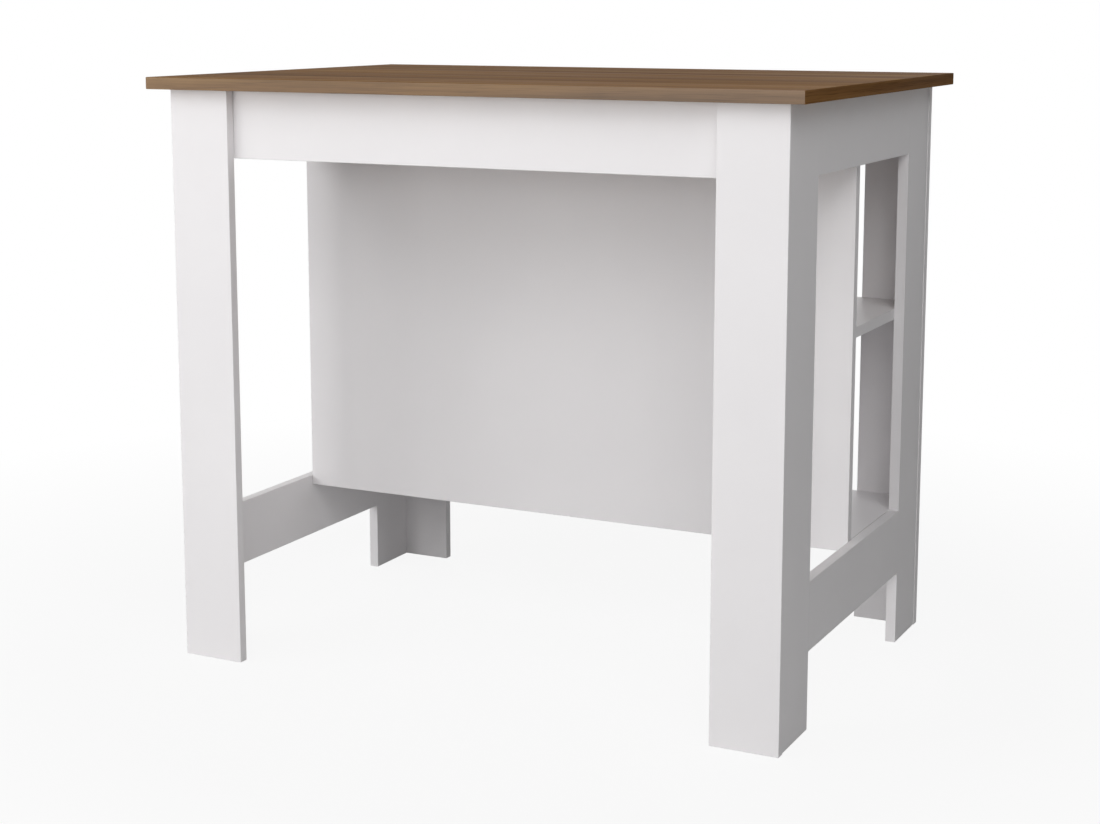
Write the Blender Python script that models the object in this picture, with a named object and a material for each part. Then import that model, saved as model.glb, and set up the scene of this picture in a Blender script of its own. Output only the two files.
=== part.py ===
"""Kitchen island: a walnut-look worktop on a white frame of flat boards, knee room in front, shelves behind.

Metres, +Z up, front towards -Y. The origin is on the floor, below the middle of the worktop.
Boards meet at shared planes, with a hairline gap, and are held by dowels and by cam locks with bolts.
"""

import math

import bmesh
import bpy
from mathutils import Matrix, Vector

# Worktop
TOP_LENGTH = 1.036
TOP_DEPTH = 0.712
TOP_THICKNESS = 0.018
TOP_HEIGHT = 0.900
END_OVERHANG = 0.027
FRONT_OVERHANG = 0.024
BACK_OVERHANG = 0.024

# Frame boards
BOARD = 0.016
STILE_WIDTH = 0.102
LEG_SIDE_WIDTH = 0.102
SIDE_SETBACK = 0.0012
APRON_HEIGHT = 0.102
RAIL_HEIGHT = 0.102
STRETCHER_HEIGHT = 0.102
FOOT_CLEARANCE = 0.114

# Shelves behind the centre panel
SHELF_DEPTH = 0.294
LOWER_BAY_HEIGHT = 0.306

# Eased edges, and the gap between pieces that touch
EDGE_RADIUS = 0.001
EDGE_SEGMENTS = 2
ROUND_PROFILE = 0.5
FIT = 0.0003

# Dowels
DOWEL_DIAMETER = 0.008
DOWEL_IN_FACE = 0.010
DOWEL_IN_EDGE = 0.020
DOWEL_CHAMFER = 0.001
DOWEL_SIDES = 12
STILE_DOWEL_INSET = 0.150
RAIL_PIN_INSET = 0.022
SHELF_END_DOWEL_INSET = 0.050
SHELF_FRONT_DOWEL_INSET = 0.115

# Cam locks and their bolts
CAM_DIAMETER = 0.015
CAM_DISTANCE = 0.034
CAM_BACK_WALL = 0.003
CAM_RIM = 0.0035
CAM_SINK = 0.0002
CAM_SIDES = 20
CROSS_LENGTH = 0.0085
CROSS_WIDTH = 0.0018
CROSS_DEPTH = 0.0018
SLOT_CLEARANCE = 0.0005
BOLT_THREAD_DIAMETER = 0.005
BOLT_THREAD_LENGTH = 0.0105
BOLT_COLLAR_DIAMETER = 0.007
BOLT_COLLAR_LENGTH = 0.0025
BOLT_SHAFT_DIAMETER = 0.006
BOLT_NECK_DIAMETER = 0.0038
BOLT_HEAD_DIAMETER = 0.0058
BOLT_HEAD_LENGTH = 0.004
BOLT_HEAD_PAST_CENTRE = 0.001
BOLT_CHAMFER = 0.001
BOLT_SIDES = 12
SHELF_CAM_INSET = 0.080
TOP_CAM_INSET = 0.225

# How far a cutter runs past the face that it cuts
OVERRUN = 0.002
# Facets that meet at less than this angle are shaded smooth
SMOOTH_ANGLE = math.radians(35)

# Planes that the boards share
UNDER_TOP = TOP_HEIGHT - TOP_THICKNESS
BOARD_TOP = UNDER_TOP - FIT
END_OUT = TOP_LENGTH / 2 - END_OVERHANG
SIDE_OUT = END_OUT - SIDE_SETBACK
END_IN = SIDE_OUT - BOARD
END_MIDDLE = SIDE_OUT - BOARD / 2
BETWEEN_ENDS = END_IN - FIT
FRONT_OUT = -TOP_DEPTH / 2 + FRONT_OVERHANG
FRONT_IN = FRONT_OUT + BOARD
BACK_OUT = TOP_DEPTH / 2 - BACK_OVERHANG
BACK_IN = BACK_OUT - BOARD
WINDOW_FRONT = FRONT_IN + LEG_SIDE_WIDTH
WINDOW_BACK = BACK_IN - LEG_SIDE_WIDTH
RAIL_BOTTOM = UNDER_TOP - RAIL_HEIGHT
APRON_BOTTOM = UNDER_TOP - APRON_HEIGHT
STRETCHER_TOP = FOOT_CLEARANCE + STRETCHER_HEIGHT
PANEL_BACK = BACK_IN - SHELF_DEPTH
PANEL_FRONT = PANEL_BACK - BOARD
SHELF_BOTTOMS = {
    "bottom": STRETCHER_TOP - BOARD,
    "mid": STRETCHER_TOP + LOWER_BAY_HEIGHT,
}

SIDES = {"left": -1, "right": 1}
X = Vector((1, 0, 0))
Y = Vector((0, 1, 0))
Z = Vector((0, 0, 1))


def clear_scene():
    for old in list(bpy.data.objects):
        bpy.data.objects.remove(old, do_unlink=True)


def make_material(name, color, roughness, metallic=0.0):
    material = bpy.data.materials.new(name)
    material.use_nodes = True
    shader = material.node_tree.nodes["Principled BSDF"]
    shader.inputs["Base Color"].default_value = (*color, 1.0)
    shader.inputs["Roughness"].default_value = roughness
    shader.inputs["Metallic"].default_value = metallic
    return material


def add_object(name, mesh, parent=None):
    """A new object in the scene. With no mesh it is an empty."""
    added = bpy.data.objects.new(name, mesh)
    bpy.context.scene.collection.objects.link(added)
    added.parent = parent
    return added


def mesh_from(bm, name, material=None):
    bmesh.ops.recalc_face_normals(bm, faces=bm.faces)
    mesh = bpy.data.meshes.new(name)
    bm.to_mesh(mesh)
    bm.free()
    if material:
        mesh.materials.append(material)
    return mesh


def shade_round(mesh):
    mesh.shade_smooth()
    mesh.set_sharp_from_angle(angle=SMOOTH_ANGLE)


def turn_to(direction):
    """The rotation that takes +Z to a direction."""
    return Z.rotation_difference(direction).to_matrix().to_4x4()


def add_box(bm, low, high):
    size = Vector(high) - Vector(low)
    middle = Vector(low) + size / 2
    bmesh.ops.create_cube(bm, size=1.0, matrix=Matrix.Translation(middle) @ Matrix.Diagonal((*size, 1.0)))


def add_cylinder(bm, start, direction, length, diameter, sides):
    bmesh.ops.create_cone(
        bm,
        cap_ends=True,
        segments=sides,
        radius1=diameter / 2,
        radius2=diameter / 2,
        depth=length,
        matrix=Matrix.Translation(start + direction * length / 2) @ turn_to(direction),
    )


def add_boolean(target, operation, operand):
    """A Boolean that keeps its operand as a hidden wire helper."""
    operand.hide_render = True
    operand.display_type = "WIRE"
    boolean = target.modifiers.new(operand.name, "BOOLEAN")
    boolean.operation = operation
    boolean.solver = "EXACT"
    boolean.object = operand


def add_board(name, low, high, material, parent, butts):
    """A flat board between two corners, eased on all edges but those of faces that butt another board."""
    size = Vector(high) - Vector(low)
    bm = bmesh.new()
    add_box(bm, -size / 2, size / 2)
    bm.normal_update()
    eased = []
    for edge in bm.edges:
        if not any(round(face.normal.dot(butt)) > 0 for face in edge.link_faces for butt in butts):
            eased.append(edge)
    bmesh.ops.bevel(
        bm, geom=eased, offset=EDGE_RADIUS, segments=EDGE_SEGMENTS, profile=ROUND_PROFILE, affect="EDGES"
    )
    board = add_object(name, mesh_from(bm, name, material), parent)
    board.location = Vector(low) + size / 2
    return board


def add_end_frame(side, white, parent):
    """One end: two legs, each of a stile and a leg side, with a rail and a stretcher between them.

    The stiles stand a little proud of the other boards, which hides their seams.
    """
    sign = SIDES[side]
    frame = add_object(f"end_frame_{side}", None, parent)

    def end_board(name, near, far, depth, height, butts):
        low_x, high_x = sorted((sign * near, sign * far))
        low = (low_x, depth[0], height[0])
        high = (high_x, depth[1], height[1])
        return add_board(f"{name}_{side}", low, high, white, frame, butts)

    leg = (0.0, BOARD_TOP)
    stile_in = END_OUT - STILE_WIDTH
    span = (WINDOW_FRONT + FIT, WINDOW_BACK - FIT)
    sharp = (Y, -Y, Z)
    return [
        end_board("leg_stile_front", stile_in, END_OUT, (FRONT_OUT, FRONT_IN), leg, (Z,)),
        end_board("leg_stile_back", stile_in, END_OUT, (BACK_IN, BACK_OUT), leg, (Z,)),
        end_board("leg_side_front", END_IN, SIDE_OUT, (FRONT_IN + FIT, WINDOW_FRONT), leg, sharp),
        end_board("leg_side_back", END_IN, SIDE_OUT, (WINDOW_BACK, BACK_IN - FIT), leg, sharp),
        end_board("end_rail", END_IN, SIDE_OUT, span, (RAIL_BOTTOM, BOARD_TOP), sharp),
        end_board("end_stretcher", END_IN, SIDE_OUT, span, (FOOT_CLEARANCE, STRETCHER_TOP), (Y, -Y)),
    ]


def add_cross_board(name, depth, height, white, parent, butts):
    """A board that runs from one end frame to the other."""
    low = (-BETWEEN_ENDS, depth[0], height[0])
    high = (BETWEEN_ENDS, depth[1], height[1])
    return add_board(name, low, high, white, parent, (X, -X, *butts))


def add_boards(white, walnut, parent):
    """Every board of the island, by name."""
    half = Vector((TOP_LENGTH / 2, TOP_DEPTH / 2, 0))
    low, high = -half + UNDER_TOP * Z, half + TOP_HEIGHT * Z
    boards = [add_board("worktop", low, high, walnut, parent, ())]
    for side in SIDES:
        boards += add_end_frame(side, white, parent)
    aprons = {
        "front_apron": (FRONT_IN + FIT, FRONT_IN + FIT + BOARD),
        "back_apron": (BACK_IN - FIT - BOARD, BACK_IN - FIT),
    }
    for name, depth in aprons.items():
        boards.append(add_cross_board(name, depth, (APRON_BOTTOM, BOARD_TOP), white, parent, (Z,)))
    height = (SHELF_BOTTOMS["bottom"], BOARD_TOP)
    boards.append(add_cross_board("centre_panel", (PANEL_FRONT, PANEL_BACK), height, white, parent, (Z,)))
    for name, bottom in SHELF_BOTTOMS.items():
        depth = (PANEL_BACK + FIT, BACK_IN - FIT)
        height = (bottom, bottom + BOARD)
        boards.append(add_cross_board(f"{name}_shelf", depth, height, white, parent, (-Y,)))
    return {board.name: board for board in boards}


class Drill:
    """Gathers the round holes of every board, then cuts each board's holes of one kind together."""

    def __init__(self):
        self.cutters = {}

    def hole(self, board, kind, mouth, inward, diameter, depth, sides):
        """A hole that runs inward from its mouth to a depth."""
        bm = self.cutters.setdefault((board, kind), bmesh.new())
        add_cylinder(bm, mouth - inward * OVERRUN, inward, depth + OVERRUN, diameter, sides)

    def cut(self, boards, parent):
        for (board, kind), bm in self.cutters.items():
            name = f"{board}_{kind}"
            add_boolean(boards[board], "DIFFERENCE", add_object(name, mesh_from(bm, name), parent))


def turned_mesh(name, outline, sides, material):
    """A solid of revolution about Z, from (radius, height) points, with a flat cap at each end."""
    bm = bmesh.new()
    points = [bm.verts.new((radius, 0.0, height)) for radius, height in outline]
    edges = [bm.edges.new(pair) for pair in zip(points, points[1:])]
    bmesh.ops.spin(
        bm, geom=points + edges, cent=(0, 0, 0), axis=Z, angle=2 * math.pi, steps=sides, use_merge=True
    )
    bmesh.ops.holes_fill(bm, edges=bm.edges)
    mesh = mesh_from(bm, name, material)
    shade_round(mesh)
    return mesh


def dowel_mesh(material):
    """A chamfered dowel along Z. Height 0 is the joint, with the edge-drilled board above it."""
    radius = DOWEL_DIAMETER / 2
    outline = [
        (radius - DOWEL_CHAMFER, -DOWEL_IN_FACE),
        (radius, -DOWEL_IN_FACE + DOWEL_CHAMFER),
        (radius, DOWEL_IN_EDGE - DOWEL_CHAMFER),
        (radius - DOWEL_CHAMFER, DOWEL_IN_EDGE),
    ]
    return turned_mesh("dowel", outline, DOWEL_SIDES, material)


def bolt_mesh(material):
    """A cam bolt along Z: thread below the joint at height 0, then collar, shaft, neck and head."""
    thread = BOLT_THREAD_DIAMETER / 2
    collar = BOLT_COLLAR_DIAMETER / 2
    shaft = BOLT_SHAFT_DIAMETER / 2
    neck = BOLT_NECK_DIAMETER / 2
    head = BOLT_HEAD_DIAMETER / 2
    collar_end = FIT + BOLT_COLLAR_LENGTH
    neck_start = CAM_DISTANCE - CAM_DIAMETER / 2 - FIT
    head_end = CAM_DISTANCE + BOLT_HEAD_PAST_CENTRE
    head_start = head_end - BOLT_HEAD_LENGTH
    outline = [
        (thread - BOLT_CHAMFER, -BOLT_THREAD_LENGTH),
        (thread, -BOLT_THREAD_LENGTH + BOLT_CHAMFER),
        (thread, FIT),
        (collar, FIT),
        (collar, collar_end),
        (shaft, collar_end),
        (shaft, neck_start - BOLT_CHAMFER),
        (neck, neck_start),
        (neck, head_start),
        (head, head_start),
        (head, head_end - BOLT_CHAMFER),
        (head - BOLT_CHAMFER, head_end),
    ]
    return turned_mesh("cam_bolt", outline, BOLT_SIDES, material)


def cam_mesh(material):
    """A cam lock whose face looks along +Z from the board face at height 0.

    Its bolt comes in along -X. The neck passes a slot in the rim, and the head sits in a wider hollow.
    """
    radius = CAM_DIAMETER / 2
    bottom = -(BOARD - CAM_BACK_WALL - FIT)
    below = bottom - OVERRUN
    bolt_axis = -BOARD / 2
    head = BOLT_HEAD_DIAMETER / 2 + SLOT_CLEARANCE
    neck = BOLT_NECK_DIAMETER / 2 + SLOT_CLEARANCE
    past_centre = BOLT_HEAD_PAST_CENTRE + SLOT_CLEARANCE
    cross_floor = -CAM_SINK - CROSS_DEPTH
    long, short = CROSS_LENGTH / 2, CROSS_WIDTH / 2
    cuts = {
        "head_hollow": ((-past_centre, -head, below), (radius - CAM_RIM, head, bolt_axis + head)),
        "neck_slot": ((0, -neck, below), (radius + OVERRUN, neck, bolt_axis + neck)),
        "cross_along": ((-long, -short, cross_floor), (long, short, OVERRUN)),
        "cross_across": ((-short, -long, cross_floor), (short, long, OVERRUN)),
    }
    bm = bmesh.new()
    add_cylinder(bm, bottom * Z, Z, -CAM_SINK - bottom, CAM_DIAMETER, CAM_SIDES)
    blank = add_object("cam_blank", mesh_from(bm, "cam_blank", material))
    cutters = []
    for name, (low, high) in cuts.items():
        bm = bmesh.new()
        add_box(bm, low, high)
        cutters.append(add_object(name, mesh_from(bm, name)))
        add_boolean(blank, "DIFFERENCE", cutters[-1])
    graph = bpy.context.evaluated_depsgraph_get()
    mesh = bpy.data.meshes.new_from_object(blank.evaluated_get(graph))
    shade_round(mesh)
    for helper in (blank, *cutters):
        bpy.data.objects.remove(helper, do_unlink=True)
    return mesh


class Fittings:
    """Puts dowels, cam locks and bolts between boards, and marks their holes."""

    def __init__(self, drill, beech, zinc, parent):
        self.drill = drill
        self.parent = parent
        self.dowel = dowel_mesh(beech)
        self.bolt = bolt_mesh(zinc)
        self.cam = cam_mesh(zinc)

    def dowel_hole(self, board, mouth, inward, depth):
        diameter = DOWEL_DIAMETER + 2 * FIT
        self.drill.hole(board, "dowel_holes", mouth, inward, diameter, depth + FIT, DOWEL_SIDES)

    def add_dowel(self, name, face_board, edge_board, point, inward):
        """A dowel from one board's face into another board's edge, which lies inward of the point."""
        self.dowel_hole(face_board, point, -inward, DOWEL_IN_FACE)
        self.dowel_hole(edge_board, point, inward, DOWEL_IN_EDGE)
        dowel = add_object(name, self.dowel, self.parent)
        dowel.matrix_basis = Matrix.Translation(point) @ turn_to(inward)

    def add_cam(self, joint, anchor, carrier, point, inward, outward):
        """A bolt in the anchor board's face, and the cam that pulls it into the carrier board.

        The bolt runs inward from the point, in the middle of the carrier. The cam's face looks outward.
        """
        thread_hole = BOLT_THREAD_DIAMETER + 2 * FIT
        shaft_hole = BOLT_COLLAR_DIAMETER + 2 * FIT
        pocket = CAM_DIAMETER + 2 * FIT
        seat = point + inward * CAM_DISTANCE + outward * BOARD / 2
        drill = self.drill.hole
        drill(anchor, "bolt_holes", point, -inward, thread_hole, BOLT_THREAD_LENGTH + FIT, BOLT_SIDES)
        drill(carrier, "bolt_holes", point, inward, shaft_hole, CAM_DISTANCE, BOLT_SIDES)
        drill(carrier, "cam_pockets", seat, -outward, pocket, BOARD - CAM_BACK_WALL, CAM_SIDES)
        bolt = add_object(f"cam_bolt_{joint}", self.bolt, self.parent)
        bolt.matrix_basis = Matrix.Translation(point) @ turn_to(inward)
        turn = Matrix((-inward, outward.cross(-inward), outward)).transposed().to_4x4()
        cam = add_object(f"cam_lock_{joint}", self.cam, self.parent)
        cam.matrix_basis = Matrix.Translation(seat) @ turn

    def add_pins(self, board, bottom, top, sign, legs, beech):
        """Dowel pins glued into both ends of a rail or stretcher, one solid with it, and their holes."""
        bm = bmesh.new()
        for leg, plane, outward in legs:
            for height in (bottom + RAIL_PIN_INSET, top - RAIL_PIN_INSET):
                point = Vector((sign * END_MIDDLE, plane, height))
                start = point - outward * DOWEL_IN_EDGE
                add_cylinder(bm, start, outward, 2 * DOWEL_IN_EDGE, DOWEL_DIAMETER, DOWEL_SIDES)
                self.dowel_hole(leg, point, outward, DOWEL_IN_EDGE)
        name = f"{board.name}_pins"
        add_boolean(board, "UNION", add_object(name, mesh_from(bm, name, beech), self.parent))


def fit_legs(fittings, boards, beech):
    """Joins stiles to leg sides, and rails and stretchers to the legs."""
    for side, sign in SIDES.items():
        for end, plane, inward in (("front", FRONT_IN, Y), ("back", BACK_IN, -Y)):
            heights = {"lower": STILE_DOWEL_INSET, "upper": UNDER_TOP - STILE_DOWEL_INSET}
            for level, height in heights.items():
                fittings.add_dowel(
                    f"stile_dowel_{end}_{side}_{level}",
                    f"leg_stile_{end}_{side}",
                    f"leg_side_{end}_{side}",
                    Vector((sign * END_MIDDLE, plane, height)),
                    inward,
                )
        legs = (
            (f"leg_side_front_{side}", WINDOW_FRONT, -Y),
            (f"leg_side_back_{side}", WINDOW_BACK, Y),
        )
        rail, stretcher = boards[f"end_rail_{side}"], boards[f"end_stretcher_{side}"]
        fittings.add_pins(rail, RAIL_BOTTOM, UNDER_TOP, sign, legs, beech)
        fittings.add_pins(stretcher, FOOT_CLEARANCE, STRETCHER_TOP, sign, legs, beech)


def fit_aprons(fittings):
    """Joins each apron to the leg sides at its ends and to the worktop above it."""
    to_middle = FIT + BOARD / 2
    height = (APRON_BOTTOM + UNDER_TOP) / 2
    for end, plane, inward in (("front", FRONT_IN + to_middle, Y), ("back", BACK_IN - to_middle, -Y)):
        apron = f"{end}_apron"
        for side, sign in SIDES.items():
            point = Vector((sign * END_IN, plane, height))
            fittings.add_cam(f"{apron}_{side}", f"leg_side_{end}_{side}", apron, point, -sign * X, inward)
            point = Vector((sign * (END_IN - TOP_CAM_INSET), plane, UNDER_TOP))
            fittings.add_cam(f"{apron}_top_{side}", "worktop", apron, point, -Z, inward)


def fit_panel_and_shelves(fittings):
    """Joins the centre panel and the shelves to the end frames, and the shelves to the panel."""
    panel_middle = (PANEL_FRONT + PANEL_BACK) / 2
    rail_middle = (RAIL_BOTTOM + UNDER_TOP) / 2
    for side, sign in SIDES.items():
        point = Vector((sign * END_IN, panel_middle, rail_middle))
        fittings.add_cam(f"centre_panel_{side}", f"end_rail_{side}", "centre_panel", point, -sign * X, Y)
        height = SHELF_BOTTOMS["bottom"] + BOARD / 2
        point = Vector((sign * END_IN, PANEL_BACK + SHELF_CAM_INSET, height))
        stretcher = f"end_stretcher_{side}"
        fittings.add_cam(f"bottom_shelf_{side}", stretcher, "bottom_shelf", point, -sign * X, -Z)
    for name, bottom in SHELF_BOTTOMS.items():
        shelf = f"{name}_shelf"
        height = bottom + BOARD / 2
        for side, sign in SIDES.items():
            point = Vector((sign * END_IN, BACK_IN - SHELF_END_DOWEL_INSET, height))
            fittings.add_dowel(f"{shelf}_dowel_{side}", f"leg_side_back_{side}", shelf, point, -sign * X)
        for place, step in (("front_left", -1), ("front_centre", 0), ("front_right", 1)):
            point = Vector((step * (END_IN - SHELF_FRONT_DOWEL_INSET), PANEL_BACK, height))
            fittings.add_dowel(f"{shelf}_dowel_{place}", "centre_panel", shelf, point, Y)


def main():
    clear_scene()
    white = make_material("white_laminate", (0.80, 0.79, 0.79), 0.45)
    walnut = make_material("walnut_laminate", (0.17, 0.10, 0.06), 0.45)
    beech = make_material("beech", (0.62, 0.44, 0.27), 0.7)
    zinc = make_material("zinc", (0.55, 0.55, 0.56), 0.35, 1.0)
    island = add_object("island", None)
    boards = add_boards(white, walnut, island)
    drill = Drill()
    fittings = Fittings(drill, beech, zinc, island)
    fit_legs(fittings, boards, beech)
    fit_aprons(fittings)
    fit_panel_and_shelves(fittings)
    drill.cut(boards, island)


main()
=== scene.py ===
"""Looks of the kitchen island: white melamine boards, walnut-look worktop, beech dowels, zinc fittings."""

import math

import bpy
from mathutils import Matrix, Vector


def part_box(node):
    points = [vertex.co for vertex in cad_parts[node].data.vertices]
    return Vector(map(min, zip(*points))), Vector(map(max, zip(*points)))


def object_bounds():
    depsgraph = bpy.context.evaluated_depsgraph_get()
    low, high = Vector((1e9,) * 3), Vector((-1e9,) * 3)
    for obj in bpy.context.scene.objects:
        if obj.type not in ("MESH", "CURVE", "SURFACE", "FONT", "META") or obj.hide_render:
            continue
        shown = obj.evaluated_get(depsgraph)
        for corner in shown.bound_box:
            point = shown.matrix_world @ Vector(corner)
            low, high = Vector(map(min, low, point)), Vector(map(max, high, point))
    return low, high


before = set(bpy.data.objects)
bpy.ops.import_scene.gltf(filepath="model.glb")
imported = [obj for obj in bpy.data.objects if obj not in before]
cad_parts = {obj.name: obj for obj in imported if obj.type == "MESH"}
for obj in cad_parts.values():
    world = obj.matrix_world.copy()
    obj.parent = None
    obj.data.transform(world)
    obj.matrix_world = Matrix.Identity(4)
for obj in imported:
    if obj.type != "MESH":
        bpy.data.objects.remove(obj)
CAD_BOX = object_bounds()

# Camera, in metres, degrees and millimetres. The shift is a share of the picture's width.
CAMERA_PLACE = (1.3417, -2.7380, 1.0075)
CAMERA_YAW = 26.43
CAMERA_PITCH = 9.08
SENSOR_WIDTH = 36.0
LENS = 64.37
SHIFT_DOWN = 0.085

# Floor and background. The white share is the part of the floor beside the island that shows as bare white,
# so that the shadow stays soft. It grows to 1 between the two distances from the origin.
FLOOR_REACH = 30.0
FLOOR_COLOR = (0.60, 0.60, 0.60, 1)
FLOOR_ROUGHNESS = 0.9
FLOOR_WHITE_SHARE = 0.90
SHADOW_REACH = (0.75, 1.8)
WHITE = (1, 1, 1, 1)

# Light
WORLD_STRENGTH = 0.02
LIGHT_DISTANCE = 4.0

# Shading of eased edges
MERGE_DISTANCE = 0.00001
SHARP_ANGLE = math.radians(50)

# Ranges that a finish reads: most of a noise, and how squarely a wide face or an edge looks along an axis
NOISE_RANGE = (0.3, 0.7)
WIDE_FACE_RANGE = (0.5, 0.9)
EDGE_RANGE = (0.5, 0.6)

# White melamine: noise cells per metre along x, y and z, and depth in metres
WHITE_CLOUDS = (5, 5, 5)
WHITE_PEBBLES = (700, 700, 700)
WHITE_PEBBLE_DEPTH = 0.00006
WHITE_TONES = ((0.790, 0.773, 0.781), (0.810, 0.793, 0.800))
WHITE_ROUGHNESS = (0.48, 0.62)
WHITE_SPECULAR = 0.15

# Walnut print: noise cells per metre, first along the grain
WALNUT_BANDS = (0.9, 15, 15)
WALNUT_STREAKS = (1.4, 75, 75)
WALNUT_FIBRES = (5, 480, 480)
WALNUT_PORES = (14, 900, 900)
WALNUT_FIGURE = (0.6, 9, 9)
PORE_RANGE = (0.58, 0.66)
FIGURE_RANGE = (0.4, 0.6)

# Walnut print: what each layer adds to the tone, and the colors from the darkest tone to the palest
BAND_WEIGHT = 0.46
STREAK_WEIGHT = 0.34
FIBRE_WEIGHT = 0.22
PORE_WEIGHT = -0.08
WALNUT_STEPS = (0.36, 0.46, 0.54, 0.64)
WALNUT_BROWN = ((0.153, 0.078, 0.035), (0.235, 0.126, 0.058), (0.299, 0.166, 0.081), (0.382, 0.228, 0.122))
WALNUT_AMBER = ((0.172, 0.078, 0.022), (0.273, 0.135, 0.043), (0.343, 0.180, 0.061), (0.432, 0.246, 0.100))

# Walnut print: tints mixed into the edges' lipping (painted sheen on the front and back edges, painted
# shade on the end edges), and the surface
FRONT_PAINTED_SHEEN = (0.195, 0.196, 0.183, 1)
FRONT_PAINTED_SHEEN_SHARE = 0.40
END_PAINTED_SHADE = (0.06, 0.02, 0.005, 1)
END_PAINTED_SHADE_SHARE = 0.32
FIBRE_RISE = 0.4
PORE_RISE = -1.0
WALNUT_DEPTH = 0.00005
WALNUT_ROUGHNESS = (0.74, 0.86)
WALNUT_SPECULAR = 0.015

# Fittings: plated zinc and bare beech
FITTING_RANGE = (0.35, 0.65)
ZINC_CLOUDS = (260, 260, 260)
ZINC_GRIT = (2600, 2600, 2600)
ZINC_GRIT_DEPTH = 0.00003
ZINC_TONES = ((0.47, 0.47, 0.48), (0.62, 0.62, 0.63))
ZINC_ROUGHNESS = (0.28, 0.42)
BEECH_FLECKS = (300, 300, 60)
BEECH_FLECK_DEPTH = 0.0001
BEECH_TONES = ((0.54, 0.36, 0.21), (0.68, 0.50, 0.32))
BEECH_ROUGHNESS = 0.7


class Paint:
    """One node material. An input is given a socket to follow, or a plain value."""

    # A Mix node's sockets for each kind of data: its two inputs and its output
    MIX_SOCKETS = {"VECTOR": (4, 5, 1), "RGBA": (6, 7, 2)}

    def __init__(self, name):
        self.material = bpy.data.materials.new(name)
        self.material.use_nodes = True
        self.tree = self.material.node_tree
        self.shader = self.tree.nodes["Principled BSDF"]

    def add(self, kind, inputs, **settings):
        node = self.tree.nodes.new(kind)
        for key, value in settings.items():
            setattr(node, key, value)
        self.feed(node, inputs)
        return node

    def feed(self, node, inputs):
        for key, value in inputs.items():
            if isinstance(value, bpy.types.NodeSocket):
                self.tree.links.new(value, node.inputs[key])
            else:
                node.inputs[key].default_value = value

    def place(self):
        """Where the point is on the object, in metres."""
        return self.add("ShaderNodeTexCoord", {}).outputs["Object"]

    def facing(self, axis):
        """How squarely the surface looks along an axis, from 0 to 1."""
        normal = self.add("ShaderNodeNewGeometry", {}).outputs["True Normal"]
        part = self.add("ShaderNodeSeparateXYZ", {0: normal}).outputs[axis]
        return self.math("ABSOLUTE", part)

    def math(self, operation, first, second=0.0, third=0.0):
        return self.add("ShaderNodeMath", {0: first, 1: second, 2: third}, operation=operation).outputs[0]

    def total(self, *terms):
        """The sum of values, each times its weight."""
        result = 0.0
        for value, weight in terms:
            result = self.math("MULTIPLY_ADD", value, weight, result)
        return result

    def noise(self, place, cells, detail=2.0, roughness=0.5, distortion=0.0):
        """Noise from 0 to 1, with so many cells per metre along each axis."""
        vector = self.add("ShaderNodeVectorMath", {0: place, 1: cells}, operation="MULTIPLY").outputs[0]
        inputs = {
            "Vector": vector,
            "Scale": 1.0,
            "Detail": detail,
            "Roughness": roughness,
            "Distortion": distortion,
        }
        return self.add("ShaderNodeTexNoise", inputs).outputs["Fac"]

    def span(self, value, source, target=(0.0, 1.0)):
        """A value taken from one range to another, and kept inside it."""
        inputs = {0: value, 1: source[0], 2: source[1], 3: target[0], 4: target[1]}
        return self.add("ShaderNodeMapRange", inputs).outputs[0]

    def mix(self, share, first, second, kind="RGBA"):
        """The first value at a share of 0, fading to the second at 1."""
        low, high, result = self.MIX_SOCKETS[kind]
        node = self.add("ShaderNodeMix", {0: share, low: first, high: second}, data_type=kind)
        return node.outputs[result]

    def ramp(self, value, steps, colors):
        """The color for a value, fading from each step's color to the next."""
        node = self.add("ShaderNodeValToRGB", {0: value})
        elements = node.color_ramp.elements
        for step in steps[2:]:
            elements.new(step)
        for element, step, color in zip(elements, steps, colors):
            element.position = step
            element.color = (*color, 1)
        return node.outputs["Color"]

    def bump(self, height, depth):
        inputs = {"Height": height, "Distance": depth, "Strength": 1.0}
        return self.add("ShaderNodeBump", inputs).outputs["Normal"]

    def finish(self, inputs):
        self.feed(self.shader, inputs)
        return self.material


def white_laminate(axis):
    """Melamine with a fine pebbled emboss on the faces that look along an axis, and smooth elsewhere."""
    paint = Paint("white_laminate_" + "xyz"[axis])
    place = paint.place()
    cloud = paint.noise(place, WHITE_CLOUDS)
    pebble = paint.noise(place, WHITE_PEBBLES, detail=3.0)
    wide = paint.span(paint.facing(axis), WIDE_FACE_RANGE)
    height = paint.math("MULTIPLY", pebble, wide)
    return paint.finish({
        "Base Color": paint.ramp(cloud, NOISE_RANGE, WHITE_TONES),
        "Roughness": paint.span(pebble, NOISE_RANGE, WHITE_ROUGHNESS),
        "Specular IOR Level": WHITE_SPECULAR,
        "Normal": paint.bump(height, WHITE_PEBBLE_DEPTH),
    })


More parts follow.
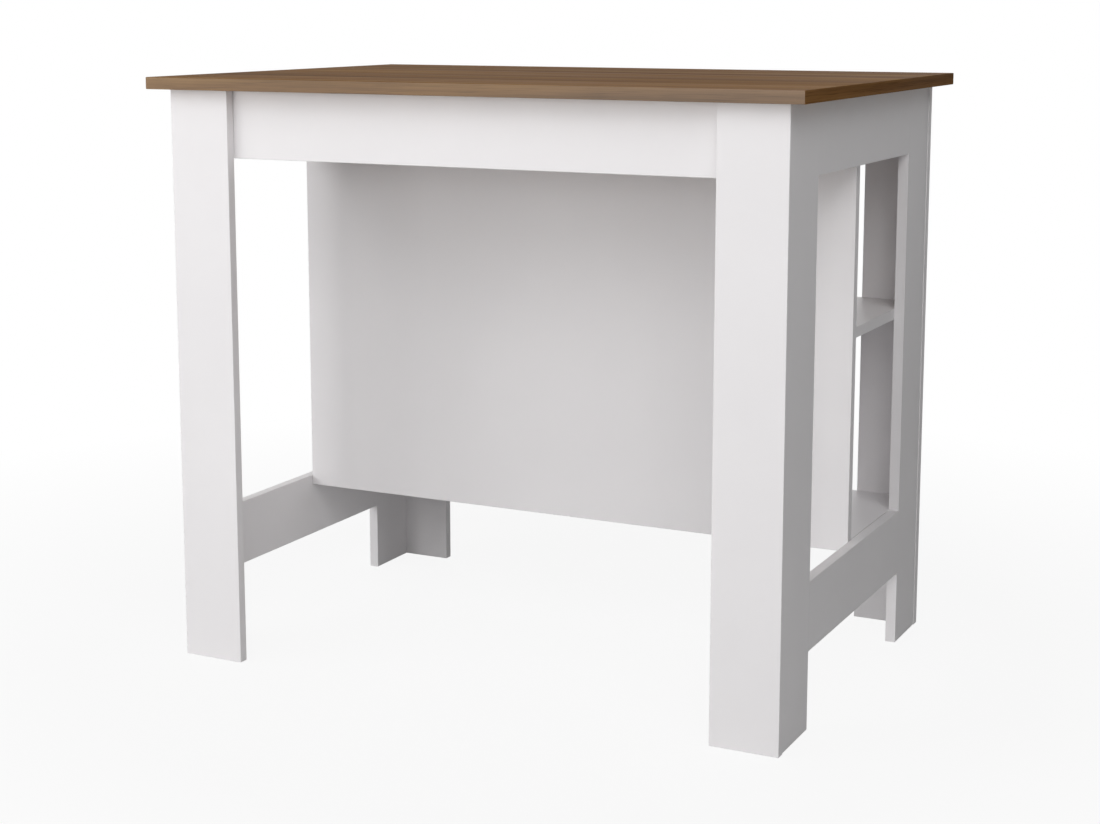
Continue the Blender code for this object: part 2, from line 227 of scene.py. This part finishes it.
def walnut_laminate():
    """A walnut print: bands, streaks, fibres and pores along the board, and along each edge's lipping."""
    paint = Paint("walnut_laminate_finish")
    place = paint.place()
    x, y, z = paint.add("ShaderNodeSeparateXYZ", {0: place}).outputs
    turned = paint.add("ShaderNodeCombineXYZ", {0: y, 1: x, 2: z}).outputs[0]
    on_end = paint.span(paint.facing(0), EDGE_RANGE)
    painted_sheen_on_front = paint.span(paint.facing(1), EDGE_RANGE)
    grain = paint.mix(on_end, place, turned, "VECTOR")
    bands = paint.noise(grain, WALNUT_BANDS, detail=3.0, roughness=0.55, distortion=0.7)
    streaks = paint.noise(grain, WALNUT_STREAKS, detail=5.0, roughness=0.62, distortion=0.25)
    fibres = paint.noise(grain, WALNUT_FIBRES, detail=3.0, roughness=0.6)
    pores = paint.span(paint.noise(grain, WALNUT_PORES, detail=1.0), PORE_RANGE)
    figure = paint.span(paint.noise(grain, WALNUT_FIGURE, distortion=0.5), FIGURE_RANGE)
    tone = paint.total(
        (bands, BAND_WEIGHT), (streaks, STREAK_WEIGHT), (fibres, FIBRE_WEIGHT), (pores, PORE_WEIGHT)
    )
    brown = paint.ramp(tone, WALNUT_STEPS, WALNUT_BROWN)
    amber = paint.ramp(tone, WALNUT_STEPS, WALNUT_AMBER)
    color = paint.mix(figure, brown, amber)
    # Painted sheen: the front and back edges are tinted paler and greyer, as strong light would show them
    color = paint.mix(paint.math("MULTIPLY", painted_sheen_on_front, FRONT_PAINTED_SHEEN_SHARE), color, FRONT_PAINTED_SHEEN)
    # Painted shade: the end edges are tinted darker, as they look in less light
    color = paint.mix(paint.math("MULTIPLY", on_end, END_PAINTED_SHADE_SHARE), color, END_PAINTED_SHADE)
    height = paint.total((fibres, FIBRE_RISE), (pores, PORE_RISE))
    return paint.finish({
        "Base Color": color,
        "Roughness": paint.span(fibres, NOISE_RANGE, WALNUT_ROUGHNESS),
        "Specular IOR Level": WALNUT_SPECULAR,
        "Normal": paint.bump(height, WALNUT_DEPTH),
    })


def zinc():
    """Cast and plated zinc, a little cloudy."""
    paint = Paint("zinc_finish")
    place = paint.place()
    cloud = paint.noise(place, ZINC_CLOUDS, detail=3.0)
    grit = paint.noise(place, ZINC_GRIT)
    return paint.finish({
        "Base Color": paint.ramp(cloud, FITTING_RANGE, ZINC_TONES),
        "Metallic": 1.0,
        "Roughness": paint.span(cloud, NOISE_RANGE, ZINC_ROUGHNESS),
        "Normal": paint.bump(grit, ZINC_GRIT_DEPTH),
    })


def beech():
    """Bare turned beech with short dark flecks."""
    paint = Paint("beech_finish")
    flecks = paint.noise(paint.place(), BEECH_FLECKS, detail=3.0)
    return paint.finish({
        "Base Color": paint.ramp(flecks, FITTING_RANGE, BEECH_TONES),
        "Roughness": BEECH_ROUGHNESS,
        "Normal": paint.bump(flecks, BEECH_FLECK_DEPTH),
    })


def soft_edges():
    """Modifier nodes that join a mesh's split corners and shade it smooth, apart from its sharp edges."""
    group = bpy.data.node_groups.new("soft_edges", "GeometryNodeTree")
    for way in ("INPUT", "OUTPUT"):
        group.interface.new_socket("Geometry", in_out=way, socket_type="NodeSocketGeometry")
    start = group.nodes.new("NodeGroupInput")
    join = group.nodes.new("GeometryNodeMergeByDistance")
    join.inputs["Distance"].default_value = MERGE_DISTANCE
    bare = group.nodes.new("GeometryNodeRemoveAttribute")
    bare.inputs["Name"].default_value = "custom_normal"
    smooth = group.nodes.new("GeometryNodeSetShadeSmooth")
    angle = group.nodes.new("GeometryNodeInputMeshEdgeAngle")
    corner = group.nodes.new("FunctionNodeCompare")
    corner.inputs[1].default_value = SHARP_ANGLE
    sharp = group.nodes.new("GeometryNodeSetShadeSmooth")
    sharp.domain = "EDGE"
    sharp.inputs["Shade Smooth"].default_value = False
    end = group.nodes.new("NodeGroupOutput")
    group.links.new(angle.outputs["Unsigned Angle"], corner.inputs[0])
    group.links.new(corner.outputs[0], sharp.inputs["Selection"])
    steps = (start, join, bare, smooth, sharp, end)
    for step, following in zip(steps, steps[1:]):
        group.links.new(step.outputs["Geometry"], following.inputs["Geometry"])
    return group


def dress_nodes():
    """Gives every CAD node its finish and evenly shaded edges. A white board's wide faces are embossed."""
    white = [white_laminate(axis) for axis in range(3)]
    finishes = {"walnut_laminate": walnut_laminate(), "beech": beech(), "zinc": zinc()}
    edges = soft_edges()
    for name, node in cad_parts.items():
        low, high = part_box(name)
        size = list(high - low)
        finishes["white_laminate"] = white[size.index(min(size))]
        for slot in node.material_slots:
            slot.material = finishes[slot.material.name]
        node.modifiers.new("soft_edges", "NODES").node_group = edges
        even = node.modifiers.new("even_normals", "WEIGHTED_NORMAL")
        even.keep_sharp = True


def add_camera():
    data = bpy.data.cameras.new("camera")
    data.sensor_width = SENSOR_WIDTH
    data.lens = LENS
    data.shift_y = -SHIFT_DOWN
    camera = bpy.data.objects.new("camera", data)
    camera.location = CAMERA_PLACE
    camera.rotation_euler = (math.radians(90 - CAMERA_PITCH), 0, math.radians(CAMERA_YAW))
    bpy.context.scene.collection.objects.link(camera)
    bpy.context.scene.camera = camera


def seen_rays(tree):
    """1 for camera, glossy and transmission rays, which see the white background, and 0 for the rest."""
    rays = tree.nodes.new("ShaderNodeLightPath")
    seen = rays.outputs["Is Camera Ray"]
    for name in ("Is Glossy Ray", "Is Transmission Ray"):
        either = tree.nodes.new("ShaderNodeMath")
        either.operation = "MAXIMUM"
        tree.links.new(seen, either.inputs[0])
        tree.links.new(rays.outputs[name], either.inputs[1])
        seen = either.outputs[0]
    return seen


def add_floor():
    """A pale floor that fades to the white background, and keeps the island's soft shadow."""
    corners = [(x * FLOOR_REACH, y * FLOOR_REACH, 0) for x, y in ((-1, -1), (1, -1), (1, 1), (-1, 1))]
    mesh = bpy.data.meshes.new("floor")
    mesh.from_pydata(corners, [], [(0, 1, 2, 3)])
    floor = bpy.data.objects.new("floor", mesh)
    bpy.context.scene.collection.objects.link(floor)
    paint = Paint("pale_floor")
    mesh.materials.append(paint.finish({"Base Color": FLOOR_COLOR, "Roughness": FLOOR_ROUGHNESS}))
    away = paint.add("ShaderNodeVectorMath", {0: paint.place()}, operation="LENGTH").outputs["Value"]
    share = paint.span(away, SHADOW_REACH, (FLOOR_WHITE_SHARE, 1.0))
    share = paint.math("MULTIPLY", share, seen_rays(paint.tree))
    white = paint.add("ShaderNodeEmission", {"Color": WHITE, "Strength": 1.0})
    mix = paint.add("ShaderNodeMixShader", {0: share, 1: paint.shader.outputs[0], 2: white.outputs[0]})
    paint.feed(paint.tree.nodes["Material Output"], {"Surface": mix.outputs[0]})


def add_world():
    """A faint even light, and a white background for the rays that see it."""
    world = bpy.data.worlds.new("world")
    bpy.context.scene.world = world
    world.use_nodes = True
    tree = world.node_tree
    light = tree.nodes["Background"]
    light.inputs["Color"].default_value = WHITE
    light.inputs["Strength"].default_value = WORLD_STRENGTH
    white = tree.nodes.new("ShaderNodeBackground")
    white.inputs["Color"].default_value = WHITE
    mix = tree.nodes.new("ShaderNodeMixShader")
    tree.links.new(seen_rays(tree), mix.inputs[0])
    tree.links.new(light.outputs[0], mix.inputs[1])
    tree.links.new(white.outputs[0], mix.inputs[2])
    tree.links.new(mix.outputs[0], tree.nodes["World Output"].inputs["Surface"])


def add_soft_box(name, azimuth, elevation, size, power):
    """A square lamp that looks at the island's middle. Azimuth 0 is in front, 90 at the right end."""
    target = (CAD_BOX[0] + CAD_BOX[1]) / 2
    around, up = math.radians(azimuth), math.radians(elevation)
    way = Vector((math.sin(around) * math.cos(up), -math.cos(around) * math.cos(up), math.sin(up)))
    data = bpy.data.lights.new(name, "AREA")
    data.shape = "SQUARE"
    data.size = size
    data.energy = power
    lamp = bpy.data.objects.new(name, data)
    lamp.location = target + way * LIGHT_DISTANCE
    lamp.rotation_euler = (-way).to_track_quat("-Z", "Y").to_euler()
    bpy.context.scene.collection.objects.link(lamp)


def add_lights():
    add_soft_box("front_low_box", azimuth=345, elevation=5, size=1.6, power=32)
    add_soft_box("front_right_box", azimuth=20, elevation=25, size=2.4, power=19)
    add_soft_box("right_low_box", azimuth=40, elevation=12, size=2.0, power=9)
    add_soft_box("right_high_box", azimuth=40, elevation=40, size=2.4, power=47)
    add_soft_box("front_left_box", azimuth=325, elevation=12, size=2.0, power=14)
    add_soft_box("left_box", azimuth=310, elevation=25, size=2.4, power=52)
    add_soft_box("back_left_box", azimuth=215, elevation=12, size=2.0, power=28)
    add_soft_box("back_box", azimuth=180, elevation=12, size=2.0, power=42)


bpy.context.scene.view_settings.view_transform = "Standard"
dress_nodes()
add_camera()
add_floor()
add_world()
add_lights()
